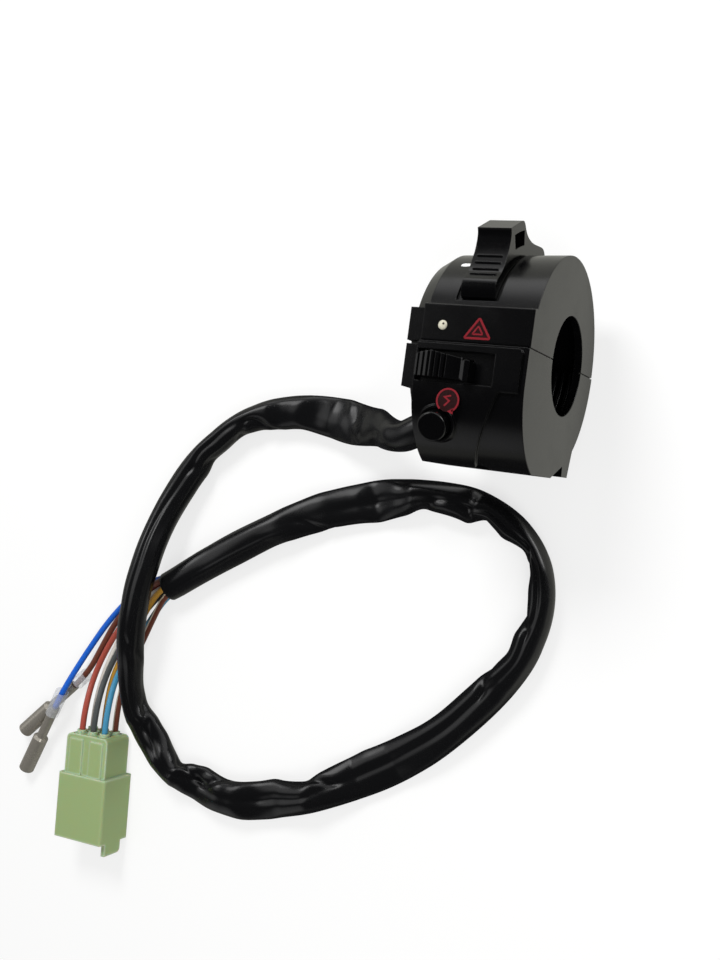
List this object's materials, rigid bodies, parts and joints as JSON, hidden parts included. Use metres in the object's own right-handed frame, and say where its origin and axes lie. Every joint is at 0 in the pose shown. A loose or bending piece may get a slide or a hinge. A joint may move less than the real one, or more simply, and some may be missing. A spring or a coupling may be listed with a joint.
{
  "type": "motorcycle handlebar switch cluster",
  "caption": "Right-hand handlebar switch housing with light knob, hazard slider, starter button, throttle drum chamber and wired harness with connector.",
  "frame": {"origin": "middle of the handlebar clamp bore, on the plane where the two halves part", "axes": "+X along the handlebar axis towards the grip, +Z the way the front panel faces and up as it lies on its back, +Y up once it is mounted"},
  "size_m": [0.2152, 0.2352, 0.0684],
  "materials": {
    "housing_plastic": "satin",
    "knob_plastic": "gloss",
    "carrier_plastic": "matte",
    "board_laminate": "matte",
    "contact_metal": "satin",
    "plated_steel": "satin",
    "spring_steel": "satin",
    "plated_brass": "gloss",
    "grommet_rubber": "matte",
    "sleeve_vinyl": "gloss",
    "clear_vinyl": "clear gloss",
    "connector_nylon": "satin, slightly translucent",
    "wire_blue": "satin",
    "wire_brown": "satin",
    "wire_red": "satin",
    "wire_white": "satin",
    "wire_grey": "satin",
    "wire_light_blue": "satin",
    "wire_orange": "satin"
  },
  "bodies": {
    "housing": {"bullet_terminals": "plated_brass", "connector_housing": "connector_nylon", "connector_pins": "contact_metal", "harness_grommet": "grommet_rubber", "harness_sleeve": "sleeve_vinyl", "hazard_fixed_contacts": "contact_metal", "hazard_terminal_board": "board_laminate", "housing_screws": "plated_steel", "light_fixed_contacts": "contact_metal", "light_terminal_board": "board_laminate", "lower_housing": "housing_plastic", "starter_case": "carrier_plastic", "starter_fixed_contacts": "contact_metal", "starter_spring": "spring_steel", "terminal_covers": "clear_vinyl", "upper_housing": "housing_plastic", "wire_blue": "wire_blue", "wire_brown": "wire_brown", "wire_brown_striped": "wire_brown", "wire_grey": "wire_grey", "wire_light_blue": "wire_light_blue", "wire_orange": "wire_orange", "wire_red": "wire_red", "wire_white": "wire_white"},
    "light_switch": {"light_knob": "knob_plastic", "light_carrier": "carrier_plastic", "light_contact": "contact_metal", "light_detent_ball": "plated_steel", "light_detent_spring": "spring_steel"},
    "hazard_switch": {"hazard_slider": "knob_plastic", "hazard_carrier": "carrier_plastic", "hazard_contact": "contact_metal", "hazard_detent_ball": "plated_steel", "hazard_detent_spring": "spring_steel"},
    "starter_switch": {"starter_button": "knob_plastic", "starter_contact": "contact_metal"}
  },
  "joints": [
    {"name": "light_knob_turn", "type": "hinge", "parent": "housing", "child": "light_switch", "pos_m": [0.0051, 0, 0.0038], "axis": [1, 0, 0], "range_deg": [-28, 0]},
    {"name": "hazard_slide", "type": "slide", "parent": "housing", "child": "hazard_switch", "axis": [1, 0, 0], "range_m": [0, 0.0055]},
    {"name": "starter_press", "type": "slide", "parent": "housing", "child": "starter_switch", "axis": [0, 0.342, -0.9397], "range_m": [0, 0.0025], "stiffness_N_per_m": 700, "springref_m": -0.002, "deforming": ["starter_spring"]}
  ]
}
